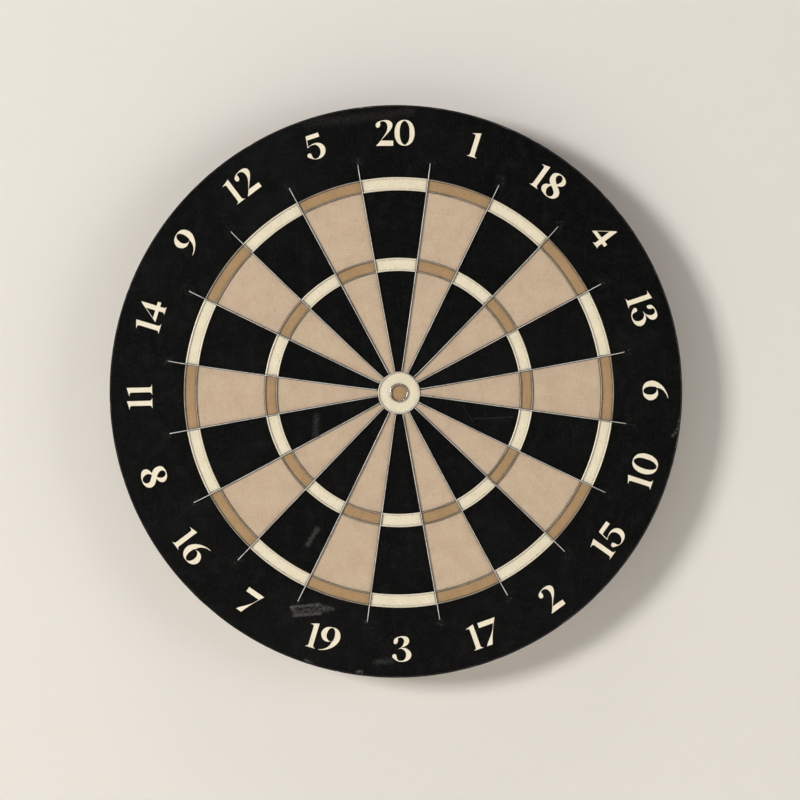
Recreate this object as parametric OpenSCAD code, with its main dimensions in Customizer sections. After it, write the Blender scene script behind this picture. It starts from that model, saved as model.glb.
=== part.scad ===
// A round wired dartboard with a steel target sheet under its painted face. It hangs by a bolt and a
// bush in a forked wall bracket.
// Everything is drawn lying on its back: x to the right, y up the face, z out from the wall, with the
// board's axis through the origin and the wall at z = 0. upright() then stands it up, so that the face
// looks along -Y, up is +Z and the origin is the middle of the bracket's foot on the wall.

/* [Board] */
// Width of the black surround, from the doubles ring to the outside of the edge band
surround_w = 56.1; // [45:0.1:70]
// Thickness of the edge band's steel strip
band_t = 1.2; // [0.8:0.1:2]
// How far the band's rounded front edge stands proud of the face
band_proud = 0.5; // [0.2:0.1:1]
// Thickness of the painted face sheet
face_t = 1.6; // [1:0.1:3]
// Thickness of the steel target sheet under the face
steel_t = 0.8; // [0.5:0.1:1.5]
// Thickness of the pressed fibre core
core_t = 15.6; // [12.6:0.2:30]
// Thickness of the back board
back_t = 6; // [5:0.5:12]
// Gap between the wall and the back board
wall_gap = 14; // [11.5:0.5:25]

/* [Target] */
// Radius to the outside of the doubles ring
double_r = 169.4; // [160:0.1:180]
// Radius to the outside of the trebles ring
treble_r = 106; // [95:0.1:125]
// Clear width between the two wires of a ring
ring_gap = 8; // [6:0.5:12]
// Inside diameter of the outer bull ring
outer_bull_d = 31.1; // [26.5:0.1:38]
// Inside diameter of the inner bull ring
inner_bull_d = 11.7; // [10:0.1:16]
// How far right of the board's axis the target lies
target_right = 2.2; // [-4:0.1:4]
// How far above the board's axis the target lies
target_up = -0.9; // [-4:0.1:4]
// How far right of the target's centre the bull rings lie
bull_right = 0.2; // [-1.5:0.1:1.5]
// How far above the target's centre the bull rings lie
bull_up = -0.4; // [-1.5:0.1:1.5]

/* [Wires] */
// Diameter of the ring and radial wires
wire_d = 1.2; // [0.9:0.1:1.6]
// Diameter of the thicker wire of the inner bull ring
bull_wire_d = 1.7; // [1.4:0.1:2.4]
// How far the radial wires run past the doubles ring
wire_overrun = 12; // [8:0.1:16]
// How much longer or shorter one radial wire is than the next
wire_scatter = 1.4; // [0:0.1:2]
// How far the radial wires stand off the face, so that they pass over the rings
wire_lift = 0.4; // [0.3:0.05:0.8]
// Length of a wire's bent leg below the face
leg_l = 8; // [5:0.5:11]
// Diameter of the prongs under the bull rings
prong_d = 1; // [0.8:0.1:1.2]
// Gap between the outer bull ring and the inner ends of the radial wires
bull_gap = 0.2; // [0.1:0.1:1]

/* [Hanging] */
// Diameter of the hanger bolt's thread
bolt_d = 8; // [6:0.5:10]
// How far the bolt's shoulder, which turns in the bush, stands out past the thread
shoulder_step = 0.8; // [0.5:0.1:2]
// How far the bolt's head reaches out past the shoulder
head_rim = 3.7; // [2.5:0.1:6]
// Thickness of the bolt's head
head_t = 4; // [3:0.5:5]
// Wall of the bush round the shoulder
bush_wall = 1.8; // [1.2:0.1:3]
// How far the bush's flanges reach past its neck
bush_rim = 4; // [3:0.5:6]
// Thickness of each flange of the bush
bush_flange_t = 1.5; // [1:0.1:2]
// How far the washer under the back board reaches out past the shoulder
washer_rim = 6.2; // [3:0.1:9]
// Thickness of the washer
washer_t = 1.2; // [0.8:0.1:2]
// How far the tee nut's flange reaches out past its barrel
nut_rim = 6.7; // [5:0.1:9]
// Thickness of the tee nut's flange
nut_flange_t = 1.6; // [1:0.1:2.5]
// Wall of the tee nut's barrel round the thread
nut_wall = 1.2; // [0.8:0.1:2]

/* [Bracket] */
// Thickness of the bracket's steel
bracket_t = 2; // [1.5:0.1:3]
// Height of the bracket
bracket_h = 52; // [44:1:70]
// Width of the bracket's raised bridge
bridge_w = 58; // [50:1:80]
// Width of each foot, out from the bridge's side
foot_w = 24; // [18:1:36]
// Distance between the screw holes, top to bottom
hole_span_up = 30; // [20:1:40]
// Diameter of the screw holes
hole_d = 5.2; // [4:0.1:6.5]

/* [Spacer pads] */
// Diameter of a pad where it meets the back board
pad_d = 30; // [24:1:40]
// Diameter of a pad at the wall
pad_tip_d = 22; // [18:1:30]
// Distance from the back board's edge to the middle of a pad
pad_inset = 32; // [22:1:60]
// Thickness of rubber under the screw's head
pad_web = 4; // [3:0.5:6]
// Diameter of the pad screws
pad_screw_d = 4; // [3:0.1:5]

/* [Clearances] */
// Round a wire's leg in its hole
leg_clear = 0.05; // [0.02:0.01:0.2]
// Between a ring wire and the notch of a radial wire that crosses it
notch_clear = 0.05; // [0.02:0.01:0.1]
// Between the board's layers and the edge band
band_clear = 0.05; // [0.02:0.01:0.2]
// Radial running fit of the bolt's shoulder in the bush
shaft_clear = 0.08; // [0.05:0.01:0.1]
// Between pieces that slide or turn against each other
slide_clear = 0.3; // [0.25:0.05:0.5]
// Round the bolt, the screws and the tee nut in their holes
bolt_clear = 0.1; // [0.05:0.05:0.3]

/* [Hidden] */
// The scores in their order round the board, clockwise from the top
SCORES = [20, 1, 18, 4, 13, 6, 10, 15, 2, 17, 3, 19, 7, 16, 8, 11, 14, 9, 12, 5];
wedges = len(SCORES);
wedge_a = 360 / wedges;
through = 1; // how far a cut runs past a surface

// heights off the wall
back_z = wall_gap;
core_z = back_z + back_t;
steel_z = core_z + core_t;
face_z = steel_z + steel_t;
front_z = face_z + face_t;

// the layers and the band round them
board_r = double_r + surround_w;
layer_r = board_r - band_t - band_clear;

// the target
double_out_r = double_r - wire_d / 2;
double_in_r = double_out_r - ring_gap - wire_d;
treble_out_r = treble_r - wire_d / 2;
treble_in_r = treble_out_r - ring_gap - wire_d;
outer_bull_r = (outer_bull_d + wire_d) / 2;
inner_bull_r = (inner_bull_d + bull_wire_d) / 2;
RINGS = [double_out_r, double_in_r, treble_out_r, treble_in_r];
outer_prong_angles = [45, 135, 225, 315];
inner_prong_angles = [90, 270];
inner_prong_r = inner_bull_r + bull_wire_d / 2;
leg_hole_d = wire_d + 2 * leg_clear;
prong_hole_d = prong_d + 2 * leg_clear;
leg_bend_r = wire_lift + wire_d / 2; // of the wire's middle line

// hanging parts, from the back board towards the wall
shoulder_r = bolt_d / 2 + shoulder_step;
shoulder_z1 = back_z - washer_t;
bush_l = bracket_t + 2 * slide_clear + 2 * bush_flange_t;
bush_z1 = shoulder_z1 - slide_clear;
bush_z0 = bush_z1 - bush_l;
head_z1 = bush_z0 - slide_clear;
head_z0 = head_z1 - head_t;
neck_r = shoulder_r + shaft_clear + bush_wall;
bush_r = neck_r + bush_rim;
slot_r = neck_r + slide_clear;
bridge_z0 = bush_z0 + bush_flange_t + slide_clear;
bridge_z1 = bridge_z0 + bracket_t;
nut_barrel_r = bolt_d / 2 + bolt_clear + nut_wall;
nut_flange_r = nut_barrel_r + nut_rim;
nut_prongs = 4;
nut_prong_d = 1.8;
nut_prong_r = (nut_barrel_r + nut_flange_r) / 2;
nut_prong_l = back_t - 2; // stops 2 mm short of the back board's outside
nut_barrel_l = back_t - 0.5; // stops short of the washer
bolt_tip = 3; // how far the bolt's tip passes the tee nut
bolt_z1 = core_z + nut_flange_t + bolt_tip;
socket_d = 6; // across the corners of the hexagon socket
socket_depth = 2.5;

// the bracket
bend_r = 2;
bend_out_r = bend_r + bracket_t;
foot_x = bridge_w / 2 + foot_w;
hole_x = bridge_w / 2 + (bend_r + foot_w) / 2; // the middle of the flat part of a foot
foot_corner_r = 6;
mouth_flare = 5;

// the spacer pads
pad_angles = [90, 210, 330];
pad_r = layer_r - pad_inset;
pad_z0 = 0.3; // just clear of the wall
pad_chamfer = 1;
pad_recess_d = pad_screw_d * 2.5;
pad_head_d = pad_screw_d * 2;
pad_head_t = pad_screw_d * 0.6;
pad_screw_l = 5; // into the core

wire_names = [for (i = [0 : wedges - 1]) str("radial_wire_", SCORES[i], "_", SCORES[(i + 1) % wedges])];
pad_names = ["spacer_pad_top", "spacer_pad_left", "spacer_pad_right"];

$fn = 48;
big_fn = 240;

// Stands a piece up: z, the height off the wall, becomes -Y, and y becomes Z.
module upright() {
    rotate([90, 0, 0])
        children();
}

// Puts the target's pieces in their place on the board.
module on_target() {
    translate([target_right, target_up, 0])
        children();
}

// Puts the bull rings in their place on the target.
module on_bull() {
    on_target()
        translate([bull_right, bull_up, 0])
            children();
}

// A round layer of the board between two heights.
module layer(z, t) {
    translate([0, 0, z])
        cylinder(r = layer_r, h = t, $fn = big_fn);
}

// The angle of a radial wire, clockwise from the top: it runs between two scores.
function wire_a(i) = wedge_a * (i + 0.5);

// How far from the target's centre the line at angle a leaves a circle of radius r round the bull.
function leave_bull(a, r) =
    let (along = bull_right * sin(a) + bull_up * cos(a))
    along + sqrt(r * r - bull_right * bull_right - bull_up * bull_up + along * along);

// Rounds a length up to a hundredth of a millimetre.
function hundredth(x) = ceil(100 * x) / 100;

// Where a radial wire's two legs go into the board, from the target's centre.
function wire_start(i) = hundredth(leave_bull(wire_a(i), outer_bull_r + wire_d + bull_gap));
function wire_end(i) = hundredth(double_r + wire_overrun + wire_scatter * sin(wire_a(i) + 180));

// Places what stands at one end of a radial wire.
module at_leg(i, r) {
    on_target()
        rotate([0, 0, -wire_a(i)])
            translate([0, r, 0])
                children();
}

// A round hole for every wire leg and prong, from height z0 to z1.
module leg_holes(z0, z1) {
    for (i = [0 : wedges - 1])
        for (r = [wire_start(i), wire_end(i)])
            at_leg(i, r)
                translate([0, 0, z0])
                    cylinder(d = leg_hole_d, h = z1 - z0);
    prongs(outer_prong_angles, outer_bull_r, prong_hole_d, z0, z1);
    prongs(inner_prong_angles, inner_prong_r, prong_hole_d, z0, z1);
}

// Straight prongs round the bull.
module prongs(angles, r, d, z0, z1) {
    on_bull()
        for (a = angles)
            rotate([0, 0, a])
                translate([r, 0, z0])
                    cylinder(d = d, h = z1 - z0);
}

// A ring of round wire that lies on the face.
module wire_ring(r, d) {
    translate([0, 0, front_z + d / 2])
        rotate_extrude($fn = big_fn)
            translate([r, 0])
                circle(d = d, $fn = 24);
}

// A quarter turn of wire at a leg: it leads from the straight wire down to the leg. turn is 0 where the
// wire comes from the target's centre, and 90 where it leaves towards the edge.
module leg_bend(turn) {
    rotate([90, 0, 90])
        rotate([0, 0, turn])
            rotate_extrude(angle = 90)
                translate([leg_bend_r, 0])
                    circle(d = wire_d, $fn = 24);
}

// A wire along the y axis, from a leg at y = start to a leg at y = end.
module bent_wire(start, end) {
    translate([0, start + leg_bend_r, front_z + leg_bend_r])
        rotate([-90, 0, 0])
            cylinder(d = wire_d, h = end - start - 2 * leg_bend_r);
    translate([0, end - leg_bend_r, front_z])
        leg_bend(0);
    translate([0, start + leg_bend_r, front_z])
        leg_bend(90);
    for (y = [start, end])
        translate([0, y, front_z - leg_l])
            cylinder(d = wire_d, h = leg_l);
}

// A straight wire, notched where it passes over the rings, with both ends bent down into the board.
module radial_wire(i) {
    color("silver")
        upright()
            at_leg(i, 0)
                difference() {
                    bent_wire(wire_start(i), wire_end(i));
                    for (r = RINGS)
                        translate([0, r, front_z + wire_d / 2])
                            rotate([0, 90, 0])
                                cylinder(d = wire_d + 2 * notch_clear, h = 3 * wire_d, center = true);
                }
}

module ring(r) {
    color("silver")
        upright()
            on_target()
                wire_ring(r, wire_d);
}

module doubles_ring_outer() {
    ring(double_out_r);
}

module doubles_ring_inner() {
    ring(double_in_r);
}

module trebles_ring_outer() {
    ring(treble_out_r);
}

module trebles_ring_inner() {
    ring(treble_in_r);
}

module bull_ring_outer() {
    color("silver")
        upright()
            union() {
                on_bull()
                    wire_ring(outer_bull_r, wire_d);
                prongs(outer_prong_angles, outer_bull_r, prong_d, front_z - leg_l, front_z + wire_d / 2);
            }
}

module bull_ring_inner() {
    color("silver")
        upright()
            union() {
                on_bull()
                    wire_ring(inner_bull_r, bull_wire_d);
                prongs(inner_prong_angles, inner_prong_r, prong_d, front_z - leg_l, front_z + bull_wire_d / 2);
            }
}

module face_sheet() {
    color([0.08, 0.08, 0.08])
        upright()
            difference() {
                layer(face_z, face_t);
                leg_holes(face_z - through, front_z + through);
            }
}

module steel_target_sheet() {
    color([0.55, 0.57, 0.6])
        upright()
            difference() {
                layer(steel_z, steel_t);
                leg_holes(steel_z - through, face_z + through);
            }
}

module fibre_core() {
    color([0.66, 0.53, 0.37])
        upright()
            difference() {
                layer(core_z, core_t);
                leg_holes(front_z - leg_l - leg_clear, steel_z + through);
                translate([0, 0, core_z - through])
                    cylinder(r = nut_flange_r + bolt_clear, h = through + nut_flange_t + bolt_clear);
                translate([0, 0, core_z - through])
                    cylinder(d = bolt_d + 2 * bolt_clear, h = through + bolt_z1 - core_z + bolt_clear);
                pad_screw_holes(core_z - through, core_z + pad_screw_l + bolt_clear);
            }
}

module back_board() {
    color([0.36, 0.29, 0.22])
        upright()
            difference() {
                layer(back_z, back_t);
                translate([0, 0, back_z - through])
                    cylinder(r = nut_barrel_r + bolt_clear, h = back_t + 2 * through);
                nut_prong_set(nut_prong_d + 2 * bolt_clear, nut_prong_l + bolt_clear);
                pad_screw_holes(back_z - through, core_z + through);
            }
}

module edge_band() {
    mid_r = board_r - band_t / 2;
    tip_z = front_z + band_proud - band_t / 2;
    color([0.07, 0.07, 0.07])
        upright()
            rotate_extrude($fn = big_fn)
                union() {
                    translate([board_r - band_t, back_z])
                        square([band_t, tip_z - back_z]);
                    translate([mid_r, tip_z])
                        circle(d = band_t, $fn = 24);
                }
}

// The tee nut's spikes, from its flange down into the back board.
module nut_prong_set(d, l) {
    for (k = [0 : nut_prongs - 1])
        rotate([0, 0, 45 + k * 360 / nut_prongs])
            translate([nut_prong_r, 0, core_z - l])
                cylinder(d = d, h = l);
}

module tee_nut() {
    color([0.75, 0.73, 0.66])
        upright()
            difference() {
                union() {
                    translate([0, 0, core_z - nut_barrel_l])
                        cylinder(r = nut_barrel_r, h = nut_barrel_l + nut_flange_t);
                    translate([0, 0, core_z])
                        cylinder(r = nut_flange_r, h = nut_flange_t);
                    nut_prong_set(nut_prong_d, nut_prong_l);
                }
                translate([0, 0, core_z - back_t - through])
                    cylinder(r = bolt_d / 2 + bolt_clear, h = back_t + nut_flange_t + 2 * through);
            }
}

module bolt_washer() {
    color([0.7, 0.71, 0.72])
        upright()
            difference() {
                translate([0, 0, back_z - washer_t])
                    cylinder(r = shoulder_r + washer_rim, h = washer_t);
                translate([0, 0, back_z - washer_t - through])
                    cylinder(r = bolt_d / 2 + bolt_clear, h = washer_t + 2 * through);
            }
}

// A shoulder bolt: the head keeps the bush on, the shoulder turns in it, the thread holds the tee nut.
module hanger_bolt() {
    color([0.62, 0.63, 0.65])
        upright()
            difference() {
                union() {
                    translate([0, 0, head_z0])
                        cylinder(r = shoulder_r + head_rim, h = head_t);
                    translate([0, 0, head_z1])
                        cylinder(r = shoulder_r, h = shoulder_z1 - head_z1);
                    translate([0, 0, shoulder_z1])
                        cylinder(d = bolt_d, h = bolt_z1 - shoulder_z1);
                }
                translate([0, 0, head_z0 - through])
                    cylinder(d = socket_d, h = socket_depth + through, $fn = 6);
            }
}

// A spool: its neck drops into the bracket's fork, and the bolt's shoulder turns in its bore.
module hanger_bush() {
    color([0.9, 0.9, 0.86])
        upright()
            difference() {
                union() {
                    translate([0, 0, bush_z0])
                        cylinder(r = bush_r, h = bush_flange_t);
                    translate([0, 0, bush_z0])
                        cylinder(r = neck_r, h = bush_l);
                    translate([0, 0, bush_z1 - bush_flange_t])
                        cylinder(r = bush_r, h = bush_flange_t);
                }
                translate([0, 0, bush_z0 - through])
                    cylinder(r = shoulder_r + shaft_clear, h = bush_l + 2 * through);
            }
}

// A quarter of a flat ring for a bend of the bracket, between the x and y sides that sx and sy name.
module bend(x, y, sx, sy) {
    translate([x, y])
        intersection() {
            difference() {
                circle(r = bend_out_r);
                circle(r = bend_r);
            }
            translate([min(0, sx) * bend_out_r, min(0, sy) * bend_out_r])
                square(bend_out_r);
        }
}

// The bracket's right half seen from above: half the bridge, a bent side and a foot on the wall.
module bracket_half() {
    side_x = bridge_w / 2;
    translate([0, bridge_z1 - bracket_t])
        square([side_x - bend_out_r, bracket_t]);
    bend(side_x - bend_out_r, bridge_z1 - bend_out_r, 1, 1);
    translate([side_x - bracket_t, bend_out_r])
        square([bracket_t, bridge_z1 - 2 * bend_out_r]);
    bend(side_x + bend_r, bend_out_r, -1, -1);
    translate([side_x + bend_r, 0])
        square([foot_x - side_x - bend_r, bracket_t]);
}

// A rectangle with round corners, centred.
module rounded(w, h, r) {
    square([w, h - 2 * r], center = true);
    square([w - 2 * r, h], center = true);
    for (x = [-1, 1])
        for (y = [-1, 1])
            translate([x * (w / 2 - r), y * (h / 2 - r)])
                circle(r = r);
}

// The open-topped slot in the bridge, with a flared mouth.
module fork_slot() {
    top = bracket_h / 2 + through;
    circle(r = slot_r);
    translate([-slot_r, 0])
        square([2 * slot_r, top]);
    polygon([
        [-slot_r, bracket_h / 2 - mouth_flare],
        [slot_r, bracket_h / 2 - mouth_flare],
        [slot_r + mouth_flare + through, top],
        [-slot_r - mouth_flare - through, top]
    ]);
}

module wall_bracket() {
    color([0.16, 0.16, 0.17])
        upright()
            difference() {
                intersection() {
                    rotate([90, 0, 0])
                        linear_extrude(height = bracket_h, center = true)
                            union() {
                                bracket_half();
                                mirror([1, 0])
                                    bracket_half();
                            }
                    translate([0, 0, -through])
                        linear_extrude(height = bridge_z1 + 2 * through)
                            rounded(2 * foot_x, bracket_h, foot_corner_r);
                }
                translate([0, 0, bridge_z0 - through])
                    linear_extrude(height = bracket_t + 2 * through)
                        fork_slot();
                for (x = [-1, 1])
                    for (y = [-1, 1])
                        translate([x * hole_x, y * hole_span_up / 2, -through])
                            cylinder(d = hole_d, h = bracket_t + 2 * through);
            }
}

// Puts something at pad k.
module at_pad(k) {
    rotate([0, 0, pad_angles[k]])
        translate([pad_r, 0, 0])
            children();
}

module pad_screw_holes(z0, z1) {
    for (k = [0 : len(pad_angles) - 1])
        at_pad(k)
            translate([0, 0, z0])
                cylinder(r = pad_screw_d / 2 + bolt_clear, h = z1 - z0);
}

// A tapered rubber foot that keeps the board's back level off the wall.
module spacer_pad(k) {
    color([0.13, 0.13, 0.13])
        upright()
            at_pad(k)
                difference() {
                    rotate_extrude()
                        polygon([
                            [0, pad_z0],
                            [pad_tip_d / 2 - pad_chamfer, pad_z0],
                            [pad_tip_d / 2, pad_z0 + pad_chamfer],
                            [pad_d / 2, back_z],
                            [0, back_z]
                        ]);
                    translate([0, 0, pad_z0 - through])
                        cylinder(d = pad_recess_d, h = back_z - pad_web - pad_z0 + through);
                    cylinder(r = pad_screw_d / 2 + bolt_clear, h = back_z + through);
                }
}

module spacer_screws() {
    head_top = back_z - pad_web;
    color([0.72, 0.72, 0.7])
        upright()
            for (k = [0 : len(pad_angles) - 1])
                at_pad(k)
                    difference() {
                        union() {
                            translate([0, 0, head_top - pad_head_t])
                                cylinder(d = pad_head_d, h = pad_head_t);
                            translate([0, 0, head_top])
                                cylinder(d = pad_screw_d, h = pad_web + back_t + pad_screw_l);
                        }
                        translate([-pad_head_d / 2, -pad_head_t / 4, head_top - pad_head_t - through])
                            cube([pad_head_d, pad_head_t / 2, pad_head_t / 2 + through]);
                    }
}

wall_bracket();
hanger_bush();
hanger_bolt();
bolt_washer();
tee_nut();
back_board();
fibre_core();
steel_target_sheet();
face_sheet();
edge_band();
doubles_ring_outer();
doubles_ring_inner();
trebles_ring_outer();
trebles_ring_inner();
bull_ring_outer();
bull_ring_inner();
for (i = [0 : wedges - 1])
    radial_wire(i);
for (k = [0 : len(pad_names) - 1])
    spacer_pad(k);
spacer_screws();
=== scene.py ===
# %% [markdown]
# # A wired dartboard with a steel sheet inside
# The board is a stack of round layers in a steel band, with a painted face, four ring wires, twenty
# radial wires and two bull rings. On its back sits a bolt with a nylon bush, which hangs in a forked wall
# bracket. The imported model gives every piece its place, so this lesson adds only what the eye needs:
# ink, wire, wear and light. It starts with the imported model, which is never moved.

# %% Load the frame
import math

import bmesh
import bpy
import numpy as np
from mathutils import Matrix, Vector


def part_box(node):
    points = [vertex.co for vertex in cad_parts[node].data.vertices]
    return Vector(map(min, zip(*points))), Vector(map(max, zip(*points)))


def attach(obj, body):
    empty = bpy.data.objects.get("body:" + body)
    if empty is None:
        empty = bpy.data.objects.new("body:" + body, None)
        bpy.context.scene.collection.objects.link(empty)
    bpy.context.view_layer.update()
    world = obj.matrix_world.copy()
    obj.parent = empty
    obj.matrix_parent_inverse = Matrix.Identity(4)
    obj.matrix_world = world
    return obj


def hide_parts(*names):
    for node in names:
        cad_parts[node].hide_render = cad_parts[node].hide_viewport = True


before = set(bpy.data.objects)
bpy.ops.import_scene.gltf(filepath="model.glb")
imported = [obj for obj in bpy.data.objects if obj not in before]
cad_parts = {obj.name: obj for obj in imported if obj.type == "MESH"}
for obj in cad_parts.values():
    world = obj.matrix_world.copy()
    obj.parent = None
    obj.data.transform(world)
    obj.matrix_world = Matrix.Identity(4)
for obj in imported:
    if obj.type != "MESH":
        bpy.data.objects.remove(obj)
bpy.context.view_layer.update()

# %% [markdown]
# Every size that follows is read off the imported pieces. A ring of wire tells three things: the middle of
# its box is its centre, the box's depth is the wire's diameter, and half its width less half a wire is
# the radius of the wire's middle line. The face looks along -Y, so its front is the lowest y.

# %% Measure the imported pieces
MM = 0.001


def ring_measures(node):
    """Centre (x, z), middle-line radius and wire diameter of a ring that lies on the face. The diameter
    is how far the ring's front stands off the face, as prongs may reach into the board behind it."""
    low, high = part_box(node)
    wire_d = face_y - low.y
    centre = np.array([(low.x + high.x) / 2, (low.z + high.z) / 2])
    return centre, (high.x - low.x - wire_d) / 2, wire_d


face_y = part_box("face_sheet")[0].y
band_low, band_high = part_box("edge_band")
board_r = min(band_high.x, band_high.z, -band_low.x, -band_low.z)
layer_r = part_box("fibre_core")[1].x
RING_NODES = ["doubles_ring_outer", "doubles_ring_inner", "trebles_ring_outer", "trebles_ring_inner"]
target, double_out_r, wire_d = ring_measures("doubles_ring_outer")
ring_r = {node: ring_measures(node)[1] for node in RING_NODES}
double_in_r = ring_r["doubles_ring_inner"]
treble_out_r = ring_r["trebles_ring_outer"]
treble_in_r = ring_r["trebles_ring_inner"]
bull, outer_bull_r, _ = ring_measures("bull_ring_outer")
_, inner_bull_r, bull_wire_d = ring_measures("bull_ring_inner")
wire_r = wire_d / 2
print("face at y", round(face_y, 5), "target centre", target.round(5), "bull centre", bull.round(5))
print("rings", {k: round(v, 5) for k, v in ring_r.items()}, "wire", round(wire_d, 5))

# %% [markdown]
# The scores run clockwise from the top. The wedges alternate: the first is black with cream in its
# doubles and trebles, the next is beige with brown.

# %% Scores and angles
SCORES = [20, 1, 18, 4, 13, 6, 10, 15, 2, 17, 3, 19, 7, 16, 8, 11, 14, 9, 12, 5]
wedge = 2 * math.pi / len(SCORES)


def pair_name(i):
    """The two scores that wire i parts, such as 20_1."""
    return f"{SCORES[i]}_{SCORES[(i + 1) % len(SCORES)]}"


def outwards(angle):
    """Unit vectors (x, z) that point away from the centre at clockwise angles from the top."""
    return np.stack([np.sin(angle), np.cos(angle)], axis=-1)


print("wedges", len(SCORES), "of", round(math.degrees(wedge), 1), "degrees")

# %% [markdown]
# The camera stands square in front of the board, as a player does, a little right of and below its
# middle, and rolled by about a degree. It is far off with a long lens, so that the board's side doesn't
# show. Its focal length follows from how much board and wall the picture takes in.

# %% Camera
picture_width = 0.6297
camera_distance = 2.4
camera_right = 3.2 * MM
camera_up = -6.8 * MM
camera_roll = math.radians(-1.2)

camera_data = bpy.data.cameras.new("camera")
camera_data.sensor_width = 36
camera_data.lens = camera_data.sensor_width * camera_distance / picture_width
camera = bpy.data.objects.new("camera", camera_data)
bpy.context.scene.collection.objects.link(camera)
turn = Matrix.Rotation(math.pi / 2, 4, "X") @ Matrix.Rotation(camera_roll, 4, "Z")
place = turn @ Vector((camera_right, camera_up, 0))
place.y = face_y - camera_distance
camera.matrix_world = Matrix.Translation(place) @ turn
bpy.context.scene.camera = camera
print("lens", round(camera_data.lens, 1), "mm")

# %% [markdown]
# Colours are given as a screen shows them, from 0 to 255, and turned into the linear light that a
# shader works in. The picture uses the plain screen curve, so a colour that is put in comes out again.

# %% Colours
bpy.context.scene.view_settings.view_transform = "Standard"


def screen(red, green, blue):
    """A linear colour from screen values: each is divided by 255, and above 0.04045 it becomes
    ((c + 0.055) / 1.055) to the power 2.4, and below that c / 12.92."""
    c = np.array([red, green, blue]) / 255
    linear = np.where(c > 0.04045, ((c + 0.055) / 1.055) ** 2.4, c / 12.92)
    return (*(float(v) for v in linear), 1.0)


# %% [markdown]
# Materials are built from nodes. A few short helpers keep that readable: put() adds a node and fills its
# sockets, which may take a number, a colour or another node's output. The others work in the tree that
# the sockets they are given belong to.

# %% Node helpers
def fill(node, sockets):
    """Sets a node's inputs, by name or number, to values or to the output sockets that feed them."""
    for key, value in sockets.items():
        if isinstance(value, bpy.types.NodeSocket):
            node.id_data.links.new(value, node.inputs[key])
        else:
            node.inputs[key].default_value = value


def put(tree, kind, sockets=None, **settings):
    """Adds a node of a kind. settings are the node's own properties, and sockets go to fill()."""
    made = tree.nodes.new("ShaderNode" + kind)
    for key, value in settings.items():
        setattr(made, key, value)
    fill(made, sockets or {})
    return made


def calc(operation, *values):
    """A Math node's result for one to three numbers or sockets."""
    tree = next(value.id_data for value in values if isinstance(value, bpy.types.NodeSocket))
    return put(tree, "Math", dict(enumerate(values)), operation=operation).outputs[0]


def times(first, *others):
    """The product of sockets and numbers."""
    for other in others:
        first = calc("MULTIPLY", first, other)
    return first


def plus(first, *others):
    """The sum of sockets and numbers."""
    for other in others:
        first = calc("ADD", first, other)
    return first


def off_axis(x, z):
    """How far a point (x, z) is from the axis of y: the root of the sum of the squares."""
    return calc("SQRT", plus(times(x, x), times(z, z)))


def axes(vector):
    """The three numbers of a vector."""
    return put(vector.id_data, "SeparateXYZ", {0: vector}).outputs


def soft_step(value, low, high):
    """0 below low, 1 above high and a smooth S between them; low above high turns it round."""
    sockets = {"Value": value, "From Min": low, "From Max": high}
    return put(value.id_data, "MapRange", sockets, interpolation_type="SMOOTHSTEP").outputs[0]


def spread(value, low, high):
    """A value of 0 to 1 laid out straight between low and high."""
    return put(value.id_data, "MapRange", {"Value": value, "To Min": low, "To Max": high}).outputs[0]


def tint(mask, first, second, share=1):
    """The first colour where the mask is 0, and the second, or a share of it, where the mask is 1."""
    mask = times(mask, share) if share != 1 else mask
    return put(mask.id_data, "Mix", {0: mask, 6: first, 7: second}, data_type="RGBA").outputs[2]


def noise(vector, size, detail=3.0, roughness=0.55):
    """Cloudy noise with lumps of about a size in metres."""
    sockets = {"Vector": vector, "Scale": 1 / size, "Detail": detail, "Roughness": roughness}
    return put(vector.id_data, "TexNoise", sockets).outputs[0]


def new_group(name, vectors, floats, outputs):
    """An empty node group with named vector inputs, float inputs with a value each, and float outputs.
    Returns the group, its inner input sockets and the node that its results go to."""
    tree = bpy.data.node_groups.new(name, "ShaderNodeTree")
    for label in vectors:
        tree.interface.new_socket(label, in_out="INPUT", socket_type="NodeSocketVector")
    for label, value in floats.items():
        socket = tree.interface.new_socket(label, in_out="INPUT", socket_type="NodeSocketFloat")
        socket.default_value = value
    for label in outputs:
        tree.interface.new_socket(label, in_out="OUTPUT", socket_type="NodeSocketFloat")
    return tree, tree.nodes.new("NodeGroupInput").outputs, tree.nodes.new("NodeGroupOutput")


def use(group, vector, **sockets):
    """Places a node group on a vector and returns its outputs. The keywords are its other inputs."""
    return put(vector.id_data, "Group", {"Vector": vector, **sockets}, node_tree=group).outputs


def new_material(name):
    """A material with one Principled shader. Returns it, the shader and the object's own coordinates, in
    metres."""
    material = bpy.data.materials.new(name)
    material.use_nodes = True
    tree = material.node_tree
    tree.nodes.clear()
    shader = put(tree, "BsdfPrincipled")
    output = put(tree, "OutputMaterial", {"Surface": shader.outputs[0]})
    output.is_active_output = True
    return material, shader, put(tree, "TexCoord").outputs["Object"]


def emboss(shader, height, distance, strength):
    """Raises the surface by height, 0 to 1, times a distance in metres, in the shading only."""
    sockets = {"Height": height, "Distance": distance, "Strength": strength}
    fill(shader, {"Normal": put(shader.id_data, "Bump", sockets).outputs[0]})


# %% [markdown]
# Grain, clouds, specks and marks turn up in several finishes, so each is a node group. Grain is noise
# that is stretched along the fibres: the coordinates are divided by a coarse size one way and by a fine
# one across.

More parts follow.
